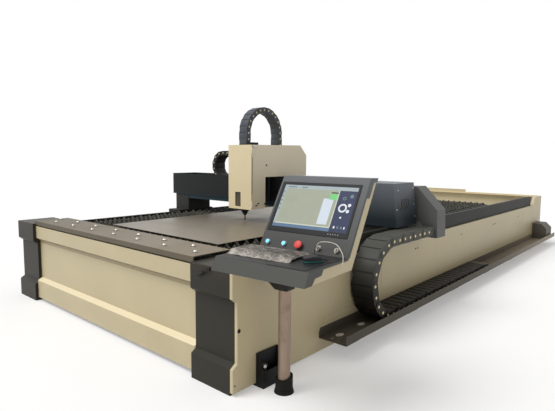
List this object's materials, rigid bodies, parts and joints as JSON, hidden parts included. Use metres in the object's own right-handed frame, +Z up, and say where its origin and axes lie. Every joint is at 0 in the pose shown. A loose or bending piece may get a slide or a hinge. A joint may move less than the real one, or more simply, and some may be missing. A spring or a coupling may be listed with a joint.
{
  "type": "fiber laser cutting machine",
  "caption": "Flatbed laser cutter with a slatted bed, gantry, covered cutting head, cable chains, ball loading plate and a tilted operator desk.",
  "frame": {"origin": "on the floor at the middle of the four anchor holes, which is the middle of the bed", "axes": "+Y from the loading end to the rear of the bed, +Z up, +X to the desk side"},
  "size_m": [3.998, 7.6008, 1.9887],
  "materials": {
    "cream_paint": "satin, powder coated",
    "dark_paint": "satin, dark grey coat",
    "frame_paint": "satin, grey coat",
    "beam_paint": "semi-gloss, dark blue-grey coat",
    "console_paint": "fine texture, dark grey coat",
    "slat_steel": "heat-stained mild steel",
    "plate_steel": "brown-grey rolled steel",
    "ground_steel": "ground",
    "ball_steel": "polished",
    "cast_plate": "milled",
    "chain_plastic": "moulded, faint grain",
    "motor_black": "matt",
    "tube_paint": "smooth, warm grey",
    "boot_rubber": "matt",
    "screen_unit": "dark frame with a lit panel",
    "key_plastic": "under clear film",
    "mouse_plastic": "satin",
    "fitting_metal": "turned",
    "lit_blue": "lit from inside",
    "stop_red": "smooth",
    "black_cord": "flexible",
    "white_cord": "flexible"
  },
  "bodies": {
    "bed": {"side_beams": "frame_paint", "cross_tubes": "frame_paint", "ledges": "frame_paint", "slat_combs": "slat_steel", "slats": "slat_steel", "slag_pans": "slat_steel", "front_panel": "cream_paint", "front_posts": "dark_paint", "right_front_panel": "cream_paint", "right_rear_panel": "cream_paint", "left_panels": "cream_paint", "rear_pillars": "cream_paint", "rear_panel": "cream_paint", "loading_plate": "plate_steel", "ball_cups": "fitting_metal", "balls": "ball_steel", "sheet_blank": "plate_steel", "rails": "ground_steel", "rail_guards": "dark_paint", "chain_tray": "frame_paint", "cable_box": "dark_paint", "anchor_brackets": "dark_paint", "levelling_feet": "ground_steel", "y_chain": "chain_plastic", "support_tube": "tube_paint", "tube_boot": "boot_rubber", "desk_bracket": "dark_paint", "console_fascia": "console_paint", "console_shell": "cream_paint", "monitor": "screen_unit", "keyboard": "key_plastic", "mouse": "mouse_plastic", "panel_fittings": "fitting_metal", "mouse_cord": "black_cord", "white_cord": "white_cord"},
    "gantry": {"gantry_beam": "beam_paint", "beam_channel": "beam_paint", "beam_rails": "ground_steel", "carriages": "beam_paint", "drive_motors": "motor_black", "end_cover": "dark_paint", "chain_arm": "dark_paint", "x_chain": "chain_plastic"},
    "head": {"head_carriage": "cast_plate", "head_cover": "cream_paint", "head_motors": "motor_black", "z_chain": "chain_plastic"},
    "lift": {"z_slide": "cast_plate", "cutting_head": "motor_black", "nozzle": "motor_black"},
    "door": {"head_door": "cream_paint"},
    "left_drive": {"left_pinion": "ground_steel"},
    "right_drive": {"right_pinion": "ground_steel"},
    "head_drive": {"x_pinion": "ground_steel"},
    "lift_screw": {"z_screw": "ground_steel"},
    "first_push": {"left_button": "lit_blue"},
    "second_push": {"middle_button": "lit_blue"},
    "stop_push": {"stop_button": "stop_red"},
    "lever": {"post_lever": "dark_paint"}
  },
  "joints": [
    {"name": "gantry_travel", "type": "slide", "parent": "bed", "child": "gantry", "axis": [0, 1, 0], "range_m": [-1.15, 4.3], "deforming": ["y_chain"]},
    {"name": "head_travel", "type": "slide", "parent": "gantry", "child": "head", "axis": [1, 0, 0], "range_m": [-1, 0.9], "deforming": ["x_chain"]},
    {"name": "lift_travel", "type": "slide", "parent": "head", "child": "lift", "axis": [0, 0, 1], "range_m": [-0.003, 0.11], "deforming": ["z_chain"]},
    {"name": "door_hinge", "type": "hinge", "parent": "head", "child": "door", "pos_m": [0.227, -2.1, 0.95], "axis": [0, 0, 1], "range_deg": [0, 110]},
    {"name": "left_pinion_turn", "type": "hinge", "parent": "gantry", "child": "left_drive", "pos_m": [-1.3696, -1.54, 0.68], "axis": [0, 0, 1], "continuous": true},
    {"name": "right_pinion_turn", "type": "hinge", "parent": "gantry", "child": "right_drive", "pos_m": [1.3696, -1.54, 0.68], "axis": [0, 0, 1], "continuous": true},
    {"name": "head_pinion_turn", "type": "hinge", "parent": "head", "child": "head_drive", "pos_m": [0.05, -1.4034, 1.18], "axis": [0, 0, 1], "continuous": true},
    {"name": "screw_turn", "type": "hinge", "parent": "head", "child": "lift_screw", "pos_m": [0.05, -1.832, 1.2], "axis": [0, 0, 1], "continuous": true},
    {"name": "first_button", "type": "slide", "parent": "bed", "child": "first_push", "axis": [-0.0701, 0.8525, -0.518], "range_m": [0, 0.004], "stiffness_N_per_m": 1200},
    {"name": "second_button", "type": "slide", "parent": "bed", "child": "second_push", "axis": [-0.0701, 0.8525, -0.518], "range_m": [0, 0.004], "stiffness_N_per_m": 1200},
    {"name": "stop_press", "type": "slide", "parent": "bed", "child": "stop_push", "axis": [-0.0701, 0.8525, -0.518], "range_m": [0, 0.004], "stiffness_N_per_m": 1200},
    {"name": "lever_turn", "type": "hinge", "parent": "bed", "child": "lever", "pos_m": [1.434, -3.7, 0.764], "axis": [0, 1, 0], "range_deg": [0, 90]}
  ],
  "couplings": [
    {"joint": "right_pinion_turn", "follows": "gantry_travel", "rad_per_m": -33.333},
    {"joint": "left_pinion_turn", "follows": "gantry_travel", "rad_per_m": 33.333},
    {"joint": "head_pinion_turn", "follows": "head_travel", "rad_per_m": 40},
    {"joint": "screw_turn", "follows": "lift_travel", "rad_per_m": -628.32}
  ]
}
